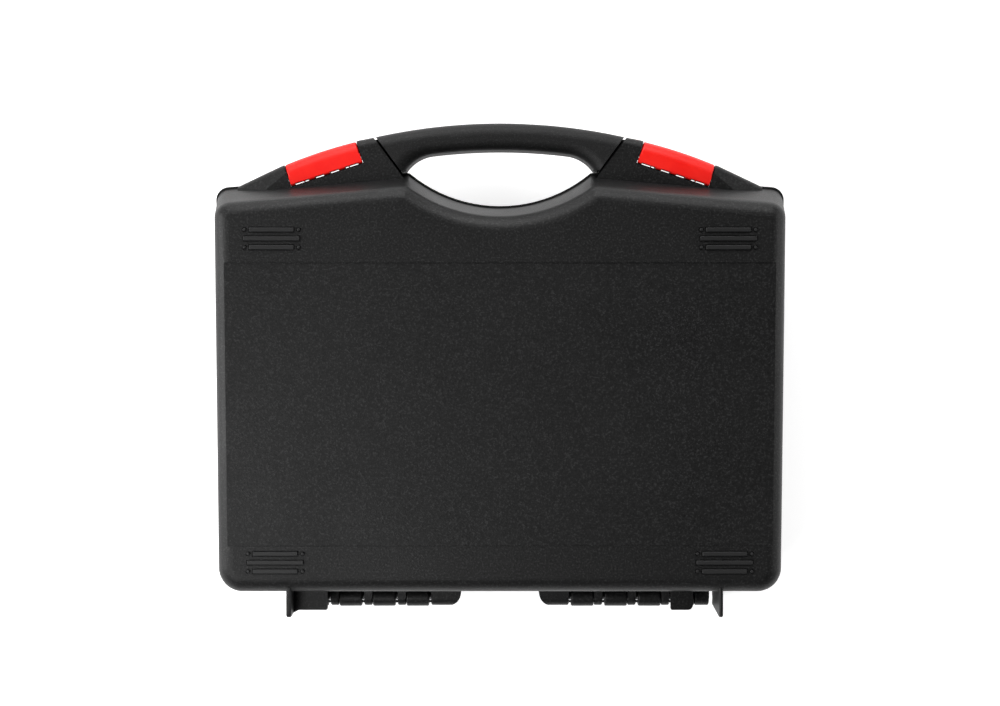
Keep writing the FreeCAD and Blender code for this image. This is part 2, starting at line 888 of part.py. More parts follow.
def screw(x, y):
    """One screw, with its head in the lower half of the handle."""
    seat = Vector(x, y, screw_seat)
    shank = rod(seat, seat + up * screw_length, screw_radius)
    head = rod(seat - up * screw_head_height, seat, screw_head_radius)
    socket_floor = seat - up * (screw_head_height - screw_socket_depth)
    socket = rod(seat - up * overrun, socket_floor, screw_socket_radius)
    return joined([shank, head]).cut(socket)


def screw_space(x, y):
    """The hole and recess for one screw."""
    seat = Vector(x, y, screw_seat)
    deepest = seat + up * (screw_length + screw_tip_room)
    shank = rod(seat - up * overrun, deepest, screw_radius + screw_fit)
    recess = rod(seat - up * overrun, seat, screw_head_radius + screw_head_room)
    return joined([shank, recess])


def handle_wire():
    """Closed outline of the handle, in the parting plane."""
    def place(x, rise):
        return Vector(x, shoulder + rise, 0)

    end = place(handle_half_length, handle_end_rise)
    root = place(handle_root_x, handle_root_rise)
    tip = place(handle_tip_x, handle_tip_rise)
    bend = place(handle_under_bend_x, handle_under_bend_rise)
    knee = place(handle_under_knee_x, handle_under_knee_rise)
    far_end, far_root, far_tip, far_bend, far_knee = flipped([knee, bend, tip, root, end])
    edges = [
        Part.Arc(far_end, place(0, handle_rise), end).toShape(),
        Part.makeLine(end, root),
        Part.makeLine(root, tip),
        Part.Arc(tip, bend, knee).toShape(),
        Part.Arc(knee, place(0, handle_under_rise), far_knee).toShape(),
        Part.Arc(far_knee, far_bend, far_tip).toShape(),
        Part.makeLine(far_tip, far_root),
        Part.makeLine(far_root, far_end),
    ]
    return Part.Wire(edges)


def bow(wire, half_thickness, radius):
    """Solid bow over an outline, with its curved edges rounded."""
    body = Part.Face(wire).extrude(up * (half_thickness * 2))
    body.translate(up * -half_thickness)
    curved = []
    for level in (-half_thickness, half_thickness):
        for edge in edges_at_height(body, level):
            if isinstance(edge.Curve, Part.Circle):
                curved.append(edge)
    return body.makeFillet(radius, curved)


def handle_half(side):
    """One half of the handle: side 1 is the upper half and -1 the lower one."""
    outside = bow(handle_wire(), handle_half_thickness, handle_round)
    inner_wire = handle_wire().makeOffset2D(-handle_wall)
    inside = bow(inner_wire, handle_half_thickness - handle_wall, handle_inner_round)
    shell = outside.cut(inside)
    reach = (-rim_half_width, rim_half_width)
    shell = shell.common(block(reach, (0, handle_top + overrun), (0, side * through)))
    ceiling = side * (handle_half_thickness - handle_wall / 2)
    at_spigot = -spigot_top_gap if side > 0 else -spigot_bottom
    bosses = []
    for x, y in screw_places():
        end = at_spigot if abs(x) > middle_screw_x else 0
        bosses.append(rod(Vector(x, y, end), Vector(x, y, ceiling), boss_radius))
    shell = joined([shell] + bosses)
    spaces = [screw_space(x, y) for x, y in screw_places()]
    if side < 0:
        opening = spigot(spigot_gap, -overrun).mirror(origin, up)
        spaces.extend(both_sides(opening))
    return shell.cut(spaces)


# Latches

def latch_block():
    """The outer form of a latch, not yet rounded: a prism whose outer side is a shallow arc."""
    half_length = latch_length / 2
    depth = ridge_half_thickness
    start = Vector(-half_length, latch_height, 0)
    end = Vector(half_length, latch_height, 0)
    arc = Part.Arc(start, Vector(0, latch_height + latch_bulge, 0), end).toShape()
    sides = Part.makePolygon([end, Vector(half_length, 0, 0), Vector(-half_length, 0, 0), start])
    body = Part.Face(Part.Wire([arc] + sides.Edges)).extrude(up * (depth * 2))
    body.translate(up * -depth)
    profile = [
        (latch_pin_rise, depth),
        (latch_height * 2, depth),
        (latch_height * 2, -depth),
        (latch_far_lip, -depth),
        (latch_pin_rise, latch_pin_z - latch_barrel_radius),
    ]
    corners = [Vector(-half_length, rise, z) for rise, z in profile]
    wire = Part.makePolygon(corners + corners[:1])
    return body.common(Part.Face(wire).extrude(Vector(latch_length, 0, 0)))


def latch_barrel(half_length):
    """The square barrel round the pin of a latch, with rounded corners."""
    rises = (latch_pin_rise - latch_barrel_radius, latch_pin_rise + latch_barrel_radius)
    depths = (latch_pin_z - latch_barrel_radius, latch_pin_z + latch_barrel_radius)
    body = block((-half_length, half_length), rises, depths)
    near = [edge for edge in body.Edges if edge.BoundBox.XLength > 0 and edge.BoundBox.YMax < rises[1]]
    long_ones = [edge for edge in near if edge.BoundBox.XLength > half_length]
    return body.makeFillet(latch_barrel_corner, long_ones)


def latch():
    """One latch: a cap over the ridge with a barrel on its near side."""
    half_length = latch_length / 2
    depth = ridge_half_thickness
    body = latch_block()
    body = body.makeFillet(latch_round, long_edges(body, depth))
    body = body.makeFillet(latch_end_round, end_edges(body, half_length))
    inner_depth = depth - latch_wall
    inner_length = half_length - latch_wall
    hollow = block(
        (-inner_length, inner_length),
        (-overrun, latch_height - latch_wall),
        (-inner_depth, inner_depth),
    )
    inner_edges = long_edges(hollow, inner_depth)
    hollow = hollow.makeFillet(latch_round - latch_wall, inner_edges)
    start = Vector(-half_length, latch_pin_rise, latch_pin_z)
    end = Vector(half_length, start.y, start.z)
    cap = joined([body.cut(hollow), latch_barrel(half_length)])
    run = Vector(overrun, 0, 0)
    bore = rod(start - run, end + run, latch_pin_radius + latch_pin_fit)
    return tilted(cap.cut([bore] + latch_windows()))


def long_edges(shape, depth):
    """The two lengthwise edges at the top corners of a latch shape."""
    found = []
    for edge in shape.Edges:
        box = edge.BoundBox
        along = box.XLength > latch_length / 2
        at_top = box.YMax > latch_height - latch_wall - joint_tolerance
        at_side = abs(abs(box.ZMin) - depth) + abs(abs(box.ZMax) - depth) < joint_tolerance
        if along and at_top and at_side:
            found.append(edge)
    return found


def end_edges(shape, half_length):
    """The edges round both ends of a latch, apart from its lower side."""
    found = []
    for edge in shape.Edges:
        box = edge.BoundBox
        at_end = abs(abs(box.XMin) - half_length) + abs(abs(box.XMax) - half_length) < joint_tolerance
        if at_end and box.YMax > latch_far_lip + joint_tolerance:
            found.append(edge)
    return found


def latch_windows():
    """The slots under the barrel of a latch, between its tabs."""
    rises = (-overrun, latch_window_height)
    depths = (0, ridge_half_thickness + overrun)
    start = -(sum(latch_window_lengths) + sum(latch_tab_lengths)) / 2
    windows = []
    for window, tab in zip(latch_window_lengths, latch_tab_lengths + (0,)):
        windows.append(block((start, start + window), rises, depths))
        start += window + tab
    return windows


# All pieces

def placed(shape):
    """A finished piece, turned and lifted from the drawing to where it lies."""
    moved = shape.copy()
    moved.rotate(origin, up, 180)
    moved.translate(Vector(0, centre_y, parting_height))
    return moved


pieces = {
    "base_shell": base_shell(),
    "lid_shell": lid_shell(),
    "handle_lower_half": handle_half(-1),
    "handle_upper_half": handle_half(1),
    "handle_screws": Part.makeCompound([screw(x, y) for x, y in screw_places()]),
    "left_hinge_pin": hinge_pin(),
    "right_hinge_pin": mirrored(hinge_pin()),
    "left_latch": latch(),
    "right_latch": mirrored(latch()),
    "left_latch_pin": latch_pin(),
    "right_latch_pin": mirrored(latch_pin()),
}

os.makedirs("parts", exist_ok=True)
for name, shape in pieces.items():
    placed(shape).exportStep(f"parts/{name}.step")
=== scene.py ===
import math

import bpy
from bpy.props import FloatProperty, FloatVectorProperty, PointerProperty
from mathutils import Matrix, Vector


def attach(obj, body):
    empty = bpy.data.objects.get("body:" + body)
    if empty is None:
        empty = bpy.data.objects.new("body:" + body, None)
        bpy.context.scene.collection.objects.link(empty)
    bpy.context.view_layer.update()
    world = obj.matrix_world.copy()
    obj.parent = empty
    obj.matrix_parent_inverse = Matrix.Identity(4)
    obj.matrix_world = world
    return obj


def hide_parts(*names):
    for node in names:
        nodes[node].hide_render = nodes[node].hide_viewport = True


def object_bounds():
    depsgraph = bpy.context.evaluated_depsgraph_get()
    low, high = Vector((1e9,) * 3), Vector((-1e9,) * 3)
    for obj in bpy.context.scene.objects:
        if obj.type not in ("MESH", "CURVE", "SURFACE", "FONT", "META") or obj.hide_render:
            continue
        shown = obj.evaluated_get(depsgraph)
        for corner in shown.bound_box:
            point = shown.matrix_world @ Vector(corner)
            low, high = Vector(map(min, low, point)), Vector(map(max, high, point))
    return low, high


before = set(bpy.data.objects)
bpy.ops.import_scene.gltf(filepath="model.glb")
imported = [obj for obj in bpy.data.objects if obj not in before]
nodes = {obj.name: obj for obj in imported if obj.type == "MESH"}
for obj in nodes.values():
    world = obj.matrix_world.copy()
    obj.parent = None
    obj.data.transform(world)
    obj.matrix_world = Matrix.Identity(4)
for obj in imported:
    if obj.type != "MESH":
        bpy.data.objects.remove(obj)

bl_info = {
    "name": "Hard tool case looks",
    "version": (1, 0, 0),
    "blender": (4, 5, 0),
    "location": "3D View > Sidebar > Tool case",
    "description": "Finishes, handle screws and photo stage for a hard tool case",
    "category": "Object",
}

cad_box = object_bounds()

# How many times as bright as a material's own tone its marks are; the grain's tops get painted
# highlight, its pits painted shade, and the foot pads' tops painted highlight
painted_highlight_brightness = 3.6
painted_pit_shade_brightness = 0.25
scuff_brightness = 1.5
# Painted highlight on the foot pads' tops
pad_highlight_brightness = 2.6
dull_steel_brightness = 0.75

# The whole range of a mask, and the grain's heights where its tops, which get painted highlight,
# and its pits, which get painted shade, start and end
whole = (0.0, 1.0)
grain_tops = (0.53, 0.63)
grain_pits = (0.45, 0.36)

# How many times finer the fine grain is
fine_grain_ratio = 2.1

# Where on their noise the patches and the scuffs start and end
patch_range = (0.3, 0.7)
scuff_range = (0.69, 0.74)

# How the scuffs' noise is turned, in radians, and squeezed across them
scuff_turn = (0.2, 0.1, 0.7)
scuff_stretch = (1.0, 14.0, 1.0)

# Detail and roughness of each noise
plain_noise = (2.0, 0.5)
coarse_noise = (1.0, 0.4)
fine_noise = (2.0, 0.6)
patch_noise = (3.0, 0.55)
streak_noise = (1.0, 0.5)

# How far roughness swings to each side of its middle value
plastic_swing = 0.05
latch_swing = 0.06
steel_swing = (-0.1, 0.12)

# How strongly the plastics mirror
black_specular = 0.31
red_specular = 0.36

# Share of the coarse grain in all the grain
shell_coarseness = 0.5
handle_coarseness = 0.25

# Strength of each bump
shell_bump = 1.0
handle_bump = 0.6
ripple_bump = 0.5

# How far below a pad's top its painted highlight starts and is full, as shares of the pad's height
pad_highlight_depths = (0.5, 0.15)

# Sides and steps of the round forms of a screw
head_sides = 48
dome_rings = 32
core_sides = 24
thread_steps = 24
thread_sides = 3

# The corners of the thread's three-sided profile lie this share of its height from its middle
thread_reach = 2 / 3

# Angle between two faces of a screw, in radians, above which their edge stays sharp
crease_angle = 0.5

# Where the world's light starts and ends to fade, on the way from level at 0 to straight up at 1
fade_range = (0.1, 0.75)

# Width of the camera's sensor, in millimetres
sensor_width = 36

white = (1, 1, 1)

# Name, place, width in metres and power in watts of each lamp: a key lamp beyond the handle,
# fill lamps on both sides, and a near one over the photo's lower left
lamps = [
    ("front_lamp", (0.1, -2.2, 1.35), 1.8, 46),
    ("left_lamp", (2.2, -0.2, 1.0), 1.5, 45),
    ("right_lamp", (-2.2, -0.5, 1.0), 1.4, 16),
    ("high_lamp", (0.5, 0.4, 1.05), 0.5, 5.2),
]


# Settings that a user would change

def length(name, description, default):
    """A length setting, in metres."""
    return FloatProperty(
        name=name,
        description=description,
        default=default,
        min=0,
        precision=5,
        unit="LENGTH",
    )


def share(name, description, default):
    """A setting between nothing and all."""
    return FloatProperty(
        name=name,
        description=description,
        default=default,
        min=0,
        max=1,
        subtype="FACTOR",
    )


def colour(name, description, default):
    """A colour setting."""
    return FloatVectorProperty(
        name=name,
        description=description,
        default=default,
        size=3,
        min=0,
        max=1,
        subtype="COLOR",
    )


class PlasticFinish(bpy.types.PropertyGroup):
    """Finish of the black plastic of shells and handle."""

    shell_dark: colour("Shell, dark", "Darker tone of the shells", (0.0038, 0.0038, 0.0039))
    shell_light: colour("Shell, light", "Lighter tone of the shells", (0.0062, 0.0062, 0.0063))
    handle_dark: colour("Handle, dark", "Darker tone of the handle", (0.0036, 0.0036, 0.0037))
    handle_light: colour("Handle, light", "Lighter tone of the handle", (0.0060, 0.0060, 0.0061))
    shell_roughness: share("Shell roughness", "Middle roughness of the shells", 0.47)
    handle_roughness: share("Handle roughness", "Middle roughness of the handle", 0.54)
    pad_height: length("Pad height", "How far the foot pads stand proud of a face", 0.0013)
    grain_size: length("Grain size", "Width of one grain of the spark-eroded surface", 0.0012)
    grain_depth: length("Grain depth", "Height of the grain", 0.00018)
    patch_size: length("Patch size", "Width of the patches of uneven sheen", 0.08)
    scuff_size: length("Scuff size", "Length of the thin scuffs", 0.02)


class LatchFinish(bpy.types.PropertyGroup):
    """Finish of the red plastic of the latches."""

    red: colour("Red", "Main tone of the latches", (0.93, 0.012, 0.006))
    deep_red: colour("Deep red", "Darker tone of the latches", (0.88, 0.007, 0.004))
    roughness: share("Roughness", "Roughness of the latches", 0.45)
    patch_size: length("Patch size", "Width of the patches of uneven sheen", 0.03)
    ripple_size: length("Ripple size", "Width of the soft waves of the moulded surface", 0.009)
    ripple_depth: length("Ripple depth", "Height of the soft waves", 0.00005)


class SteelFinish(bpy.types.PropertyGroup):
    """Finish of pins and screws."""

    pin_grey: colour("Pin grey", "Tone of the drawn wire pins", (0.55, 0.55, 0.56))
    screw_grey: colour("Screw grey", "Tone of the plated screws", (0.46, 0.46, 0.45))
    roughness: share("Roughness", "Middle roughness of the steel", 0.32)
    scratch_length: length("Scratch length", "Length of the drawing marks", 0.006)
    scratch_width: length("Scratch width", "Width of the drawing marks", 0.0002)


class ScrewSizes(bpy.types.PropertyGroup):
    """Sizes of the four handle screws."""

    head_radius: length("Head radius", "Radius of the head", 0.00275)
    head_height: length("Head height", "Height of the head", 0.002)
    dome_radius: length("Dome radius", "Radius of the curve of the head's face", 0.0037)
    shank_radius: length("Shank radius", "Radius of the shank, without thread", 0.0012)
    thread_radius: length("Thread radius", "Radius of the thread's crest", 0.0015)
    pitch: length("Pitch", "Distance between two turns of the thread", 0.0013)
    socket_width: length("Socket width", "Width of one bar of the cross recess", 0.0009)
    socket_span: length("Socket span", "Length of one bar of the cross recess", 0.0031)
    socket_depth: length("Socket depth", "Depth of the cross recess", 0.0012)


class StageSettings(bpy.types.PropertyGroup):
    """Floor, lamps and camera."""

    floor_colour: colour("Floor", "Colour of the pale floor", (0.86, 0.86, 0.86))
    floor_size: length("Floor size", "Side of the square floor", 9.0)
    floor_glow: share("Floor glow", "Light that the camera sees on the floor by itself", 0.68)
    world_light: share("World light", "Strength of the light from all round", 0.38)
    ceiling_light: share("Ceiling light", "Share of the world's light straight above", 0.03)
    camera_height: length("Camera height", "Height of the camera above the floor", 1.1853)
    camera_y: FloatProperty(
        name="Camera place along Y",
        description="Where the camera stands between the handle and the hinge",
        default=-0.00855,
        precision=5,
        unit="LENGTH",
    )
    lens: FloatProperty(
        name="Lens",
        description="Focal length on a 36 mm sensor",
        default=66.38,
        min=1,
        unit="CAMERA",
    )


# Small makers

def settings(name):
    """One group of settings of the scene."""
    return getattr(bpy.context.scene, "tool_case_" + name)


def opaque(tone):
    """A colour with full cover, as sockets take it."""
    return (*tone, 1)


def brightened(tone, times):
    """A colour with full cover, made this many times as bright."""
    return opaque([times * part for part in tone])


def new_group(name, inputs, outputs):
    """A shader node group with named inputs and outputs."""
    group = bpy.data.node_groups.new(name, "ShaderNodeTree")
    for label, kind, default in inputs:
        socket = group.interface.new_socket(label, in_out="INPUT", socket_type=kind)
        if default is not None:
            socket.default_value = default
    for label, kind in outputs:
        group.interface.new_socket(label, in_out="OUTPUT", socket_type=kind)
    return group


def add_node(tree, kind, values=None, **links):
    """A node with its properties and inputs set: values by name or number, links by name."""
    node = tree.nodes.new(kind)
    for key, value in (values or {}).items():
        if hasattr(node, str(key)):
            setattr(node, key, value)
        else:
            node.inputs[key].default_value = value
    for key, source in links.items():
        tree.links.new(source, node.inputs[key.replace("_", " ")])
    return node


def math_node(tree, operation, first, second):
    """A Math node. Each operand is a number or another node's socket."""
    node = tree.nodes.new("ShaderNodeMath")
    node.operation = operation
    for place, operand in enumerate((first, second)):
        if isinstance(operand, bpy.types.NodeSocket):
            tree.links.new(operand, node.inputs[place])
        else:
            node.inputs[place].default_value = operand
    return node.outputs[0]


def stretched(tree, value, source, target=whole):
    """A value taken from one range to another, and held inside it."""
    node = tree.nodes.new("ShaderNodeMapRange")
    tree.links.new(value, node.inputs["Value"])
    node.inputs["From Min"].default_value, node.inputs["From Max"].default_value = source
    node.inputs["To Min"].default_value, node.inputs["To Max"].default_value = target
    return node.outputs["Result"]


def noise(tree, place, scale, detail, roughness):
    """A noise texture on a place vector, with its scale a number or a socket."""
    node = tree.nodes.new("ShaderNodeTexNoise")
    tree.links.new(place, node.inputs["Vector"])
    if isinstance(scale, bpy.types.NodeSocket):
        tree.links.new(scale, node.inputs["Scale"])
    else:
        node.inputs["Scale"].default_value = scale
    node.inputs["Detail"].default_value = detail
    node.inputs["Roughness"].default_value = roughness
    return node.outputs["Fac"]


def mixed(tree, factor, first, second):
    """A colour between two colours, each a colour value or a socket."""
    node = tree.nodes.new("ShaderNodeMix")
    node.data_type = "RGBA"
    tree.links.new(factor, node.inputs["Factor"])
    for label, value in (("A", first), ("B", second)):
        socket = next(s for s in node.inputs if s.name == label and s.type == "RGBA")
        if isinstance(value, bpy.types.NodeSocket):
            tree.links.new(value, socket)
        else:
            socket.default_value = value
    return next(s for s in node.outputs if s.type == "RGBA")


# Effects that several materials share

def grain_effect():
    """Spark-eroded grain: rounded bumps of two sizes, with masks of their tops and pits, where
    highlight and shade are painted.
    """
    group = new_group(
        "Moulded grain",
        [
            ("Place", "NodeSocketVector", None),
            ("Grain Size", "NodeSocketFloat", settings("plastic").grain_size),
            ("Coarseness", "NodeSocketFloat", shell_coarseness),
        ],
        [("Height", "NodeSocketFloat"), ("Tops", "NodeSocketFloat"), ("Pits", "NodeSocketFloat")],
    )
    start = group.nodes.new("NodeGroupInput")
    end = group.nodes.new("NodeGroupOutput")
    scale = math_node(group, "DIVIDE", 1.0, start.outputs["Grain Size"])
    coarse = noise(group, start.outputs["Place"], scale, *coarse_noise)
    fine_scale = math_node(group, "MULTIPLY", scale, fine_grain_ratio)
    fine = noise(group, start.outputs["Place"], fine_scale, *fine_noise)
    coarse_part = math_node(group, "MULTIPLY", coarse, start.outputs["Coarseness"])
    rest = math_node(group, "SUBTRACT", 1.0, start.outputs["Coarseness"])
    fine_part = math_node(group, "MULTIPLY", fine, rest)
    height = math_node(group, "ADD", coarse_part, fine_part)
    tops = stretched(group, height, grain_tops)
    pits = stretched(group, height, grain_pits)
    group.links.new(height, end.inputs["Height"])
    group.links.new(tops, end.inputs["Tops"])
    group.links.new(pits, end.inputs["Pits"])
    return group


def handling_effect():
    """Traces of use: broad uneven sheen and a few thin scuffs."""
    finish = settings("plastic")
    group = new_group(
        "Handling",
        [
            ("Place", "NodeSocketVector", None),
            ("Patch Size", "NodeSocketFloat", finish.patch_size),
            ("Scuff Size", "NodeSocketFloat", finish.scuff_size),
        ],
        [("Sheen", "NodeSocketFloat"), ("Scuffs", "NodeSocketFloat")],
    )
    start = group.nodes.new("NodeGroupInput")
    end = group.nodes.new("NodeGroupOutput")
    patch_scale = math_node(group, "DIVIDE", 1.0, start.outputs["Patch Size"])
    patches = noise(group, start.outputs["Place"], patch_scale, *patch_noise)
    sheen = stretched(group, patches, patch_range)
    turned = add_node(group, "ShaderNodeMapping", Vector=start.outputs["Place"])
    turned.inputs["Rotation"].default_value = scuff_turn
    turned.inputs["Scale"].default_value = scuff_stretch
    scuff_scale = math_node(group, "DIVIDE", 1.0, start.outputs["Scuff Size"])
    streaks = noise(group, turned.outputs["Vector"], scuff_scale, *streak_noise)
    thin = stretched(group, streaks, scuff_range)
    group.links.new(sheen, end.inputs["Sheen"])
    group.links.new(thin, end.inputs["Scuffs"])
    return group


def drawn_effect():
    """Fine marks along the width of the case, as on drawn wire."""
    finish = settings("steel")
    group = new_group(
        "Drawing marks",
        [
            ("Place", "NodeSocketVector", None),
            ("Mark Length", "NodeSocketFloat", finish.scratch_length),
            ("Mark Width", "NodeSocketFloat", finish.scratch_width),
        ],
        [("Marks", "NodeSocketFloat")],
    )
    start = group.nodes.new("NodeGroupInput")
    end = group.nodes.new("NodeGroupOutput")
    along = math_node(group, "DIVIDE", 1.0, start.outputs["Mark Length"])
    across = math_node(group, "DIVIDE", 1.0, start.outputs["Mark Width"])
    scales = group.nodes.new("ShaderNodeCombineXYZ")
    group.links.new(along, scales.inputs["X"])
    group.links.new(across, scales.inputs["Y"])
    group.links.new(across, scales.inputs["Z"])
    drawn = group.nodes.new("ShaderNodeVectorMath")
    drawn.operation = "MULTIPLY"
    group.links.new(start.outputs["Place"], drawn.inputs[0])
    group.links.new(scales.outputs["Vector"], drawn.inputs[1])
    marks = noise(group, drawn.outputs["Vector"], 1.0, *fine_noise)
    group.links.new(marks, end.inputs["Marks"])
    return group


effects = {}


def effect(name, tree, place, **values):
    """One shared effect, placed in a material, where it may have values of its own."""
    makers = {"grain": grain_effect, "handling": handling_effect, "drawn": drawn_effect}
    if name not in effects:
        effects[name] = makers[name]()
    node = tree.nodes.new("ShaderNodeGroup")
    node.node_tree = effects[name]
    tree.links.new(place, node.inputs["Place"])
    for key, value in values.items():
        node.inputs[key.replace("_", " ")].default_value = value
    return node


# Materials

def new_material(name):
    """An empty material with its shader and its place on the object."""
    material = bpy.data.materials.new(name)
    material.use_nodes = True
    tree = material.node_tree
    shader = next(n for n in tree.nodes if n.type == "BSDF_PRINCIPLED")
    place = tree.nodes.new("ShaderNodeTexCoord").outputs["Object"]
    return material, tree, shader, place


def bumped(tree, shader, height, distance, strength):
    """Raises the surface by a height, at most by a distance."""
    bump = tree.nodes.new("ShaderNodeBump")
    bump.inputs["Distance"].default_value = distance
    bump.inputs["Strength"].default_value = strength
    tree.links.new(height, bump.inputs["Height"])
    tree.links.new(bump.outputs["Normal"], shader.inputs["Normal"])


def painted_pad_highlight_mask(tree, place):
    """A mask of the tops of the foot pads, which stand proud of both outer faces, where highlight
    is painted.
    """
    pad_height = settings("plastic").pad_height
    low, high = cad_box[0][2], cad_box[1][2]
    axes = add_node(tree, "ShaderNodeSeparateXYZ", Vector=place)
    offset = math_node(tree, "SUBTRACT", axes.outputs["Z"], (low + high) / 2)
    reach = math_node(tree, "ABSOLUTE", offset, 0.0)
    furthest = (high - low) / 2
    return stretched(tree, reach, [furthest - pad_height * depth for depth in pad_highlight_depths])


def black_plastic(name, dark, light, roughness, coarseness, strength):
    """Black moulded plastic with a fine grain and light traces of use, with painted highlight on
    the grain's tops and the foot pads' tops and painted shade in the grain's pits.
    """
    finish = settings("plastic")
    material, tree, shader, place = new_material(name)
    grain = effect("grain", tree, place, Coarseness=coarseness)
    use = effect("handling", tree, place)
    toned = mixed(tree, use.outputs["Sheen"], opaque(dark), opaque(light))
    # Painted highlight on the grain's tops, then painted shade in its pits
    grain_with_painted_highlight = mixed(tree, grain.outputs["Tops"], toned, brightened(light, painted_highlight_brightness))
    grain_with_painted_shade = mixed(tree, grain.outputs["Pits"], grain_with_painted_highlight, brightened(dark, painted_pit_shade_brightness))
    scuffed = mixed(tree, use.outputs["Scuffs"], grain_with_painted_shade, brightened(light, scuff_brightness))
    # Painted highlight on the foot pads' tops
    pads = painted_pad_highlight_mask(tree, place)
    pads_with_painted_highlight = mixed(tree, pads, scuffed, brightened(light, pad_highlight_brightness))
    tree.links.new(pads_with_painted_highlight, shader.inputs["Base Color"])
    rough_range = (roughness + plastic_swing, roughness - plastic_swing)
    rough = stretched(tree, use.outputs["Sheen"], whole, rough_range)
    tree.links.new(rough, shader.inputs["Roughness"])
    shader.inputs["Specular IOR Level"].default_value = black_specular
    bumped(tree, shader, grain.outputs["Height"], finish.grain_depth, strength)
    return material


def shell_plastic():
    """The grained black of both shells."""
    finish = settings("plastic")
    tones = (finish.shell_dark, finish.shell_light)
    grain = (shell_coarseness, shell_bump)
    return black_plastic("shell_black", *tones, finish.shell_roughness, *grain)


def handle_plastic():
    """The finer black of the handle."""
    finish = settings("plastic")
    tones = (finish.handle_dark, finish.handle_light)
    grain = (handle_coarseness, handle_bump)
    return black_plastic("handle_black", *tones, finish.handle_roughness, *grain)


def latch_plastic():
    """The smooth red of the latches."""
    finish = settings("latch")
    material, tree, shader, place = new_material("latch_red")
    soft = noise(tree, place, 1 / finish.ripple_size, *plain_noise)
    tone = stretched(tree, soft, patch_range)
    toned = mixed(tree, tone, opaque(finish.deep_red), opaque(finish.red))
    tree.links.new(toned, shader.inputs["Base Color"])
    use = effect("handling", tree, place, Patch_Size=finish.patch_size)
    rough_range = (finish.roughness - latch_swing, finish.roughness + latch_swing)
    rough = stretched(tree, use.outputs["Sheen"], whole, rough_range)
    tree.links.new(rough, shader.inputs["Roughness"])
    shader.inputs["Specular IOR Level"].default_value = red_specular
    bumped(tree, shader, soft, finish.ripple_depth, ripple_bump)
    return material


def steel(name, tone, roughness):
    """Bright steel with drawing marks."""
    material, tree, shader, place = new_material(name)
    drawn = effect("drawn", tree, place)
    dull = brightened(tone, dull_steel_brightness)
    toned = mixed(tree, drawn.outputs["Marks"], dull, opaque(tone))
    tree.links.new(toned, shader.inputs["Base Color"])
    rough_range = [roughness + swing for swing in steel_swing]
    rough = stretched(tree, drawn.outputs["Marks"], patch_range, rough_range)
    tree.links.new(rough, shader.inputs["Roughness"])
    shader.inputs["Metallic"].default_value = 1
    return material


def dress(names, material):
    """Gives CAD nodes one material."""
    for name in names:
        slots = nodes[name].material_slots
        if slots:
            for slot in slots:
                slot.material = material
        else:
            nodes[name].data.materials.append(material)


# Handle screws

def moved_up(tree, geometry, height):
    """A geometry moved along the screw by a height, which is a socket."""
    offset = add_node(tree, "ShaderNodeCombineXYZ", Z=height)
    moved = add_node(
        tree, "GeometryNodeTransform", Geometry=geometry, Translation=offset.outputs["Vector"]
    )
    return moved.outputs["Geometry"]


def cut_or_kept(tree, operation, first, others):
    """What a boolean leaves of a mesh and the meshes that cut or bound it."""
    node = add_node(tree, "GeometryNodeMeshBoolean", {"operation": operation, "solver": "EXACT"})
    if operation == "DIFFERENCE":
        tree.links.new(first, node.inputs["Mesh 1"])
    else:
        tree.links.new(first, node.inputs["Mesh 2"])
    for other in others:
        tree.links.new(other, node.inputs["Mesh 2"])
    return node.outputs["Mesh"]


def recess_bar(tree, given, x, y):
    """One bar of the cross recess, centred on the head's face, so that half of its height cuts."""
    depth = math_node(tree, "MULTIPLY", given["Socket Depth"], 2.0)
    size = add_node(tree, "ShaderNodeCombineXYZ", X=given[x], Y=given[y], Z=depth)
    bar = add_node(tree, "GeometryNodeMeshCube", Size=size.outputs["Vector"])
    down = math_node(tree, "MULTIPLY", given["Head Height"], -1.0)
    return moved_up(tree, bar.outputs["Mesh"], down)


def screw_head(tree, given):
    """A pan head below the seat, with a curved face and a cross recess."""
    drum = add_node(
        tree,
        "GeometryNodeMeshCylinder",
        {"Vertices": head_sides},
        Radius=given["Head Radius"],
        Depth=given["Head Height"],
    )
    half_down = math_node(tree, "MULTIPLY", given["Head Height"], -0.5)
    drum = moved_up(tree, drum.outputs["Mesh"], half_down)
    ball = add_node(
        tree,
        "GeometryNodeMeshUVSphere",
        {"Segments": head_sides, "Rings": dome_rings},
        Radius=given["Dome Radius"],
    )
    rise = math_node(tree, "SUBTRACT", given["Dome Radius"], given["Head Height"])
    ball = moved_up(tree, ball.outputs["Mesh"], rise)
    domed = cut_or_kept(tree, "INTERSECT", drum, [ball])
    bars = [
        recess_bar(tree, given, "Socket Span", "Socket Width"),
        recess_bar(tree, given, "Socket Width", "Socket Span"),
    ]
    return cut_or_kept(tree, "DIFFERENCE", domed, bars)


def screw_shank(tree, given):
    """The round core above the seat."""
    core = add_node(
        tree,
        "GeometryNodeMeshCylinder",
        {"Vertices": core_sides},
        Radius=given["Shank Radius"],
        Depth=given["Length"],
    )
    half_up = math_node(tree, "MULTIPLY", given["Length"], 0.5)
    return moved_up(tree, core.outputs["Mesh"], half_up)


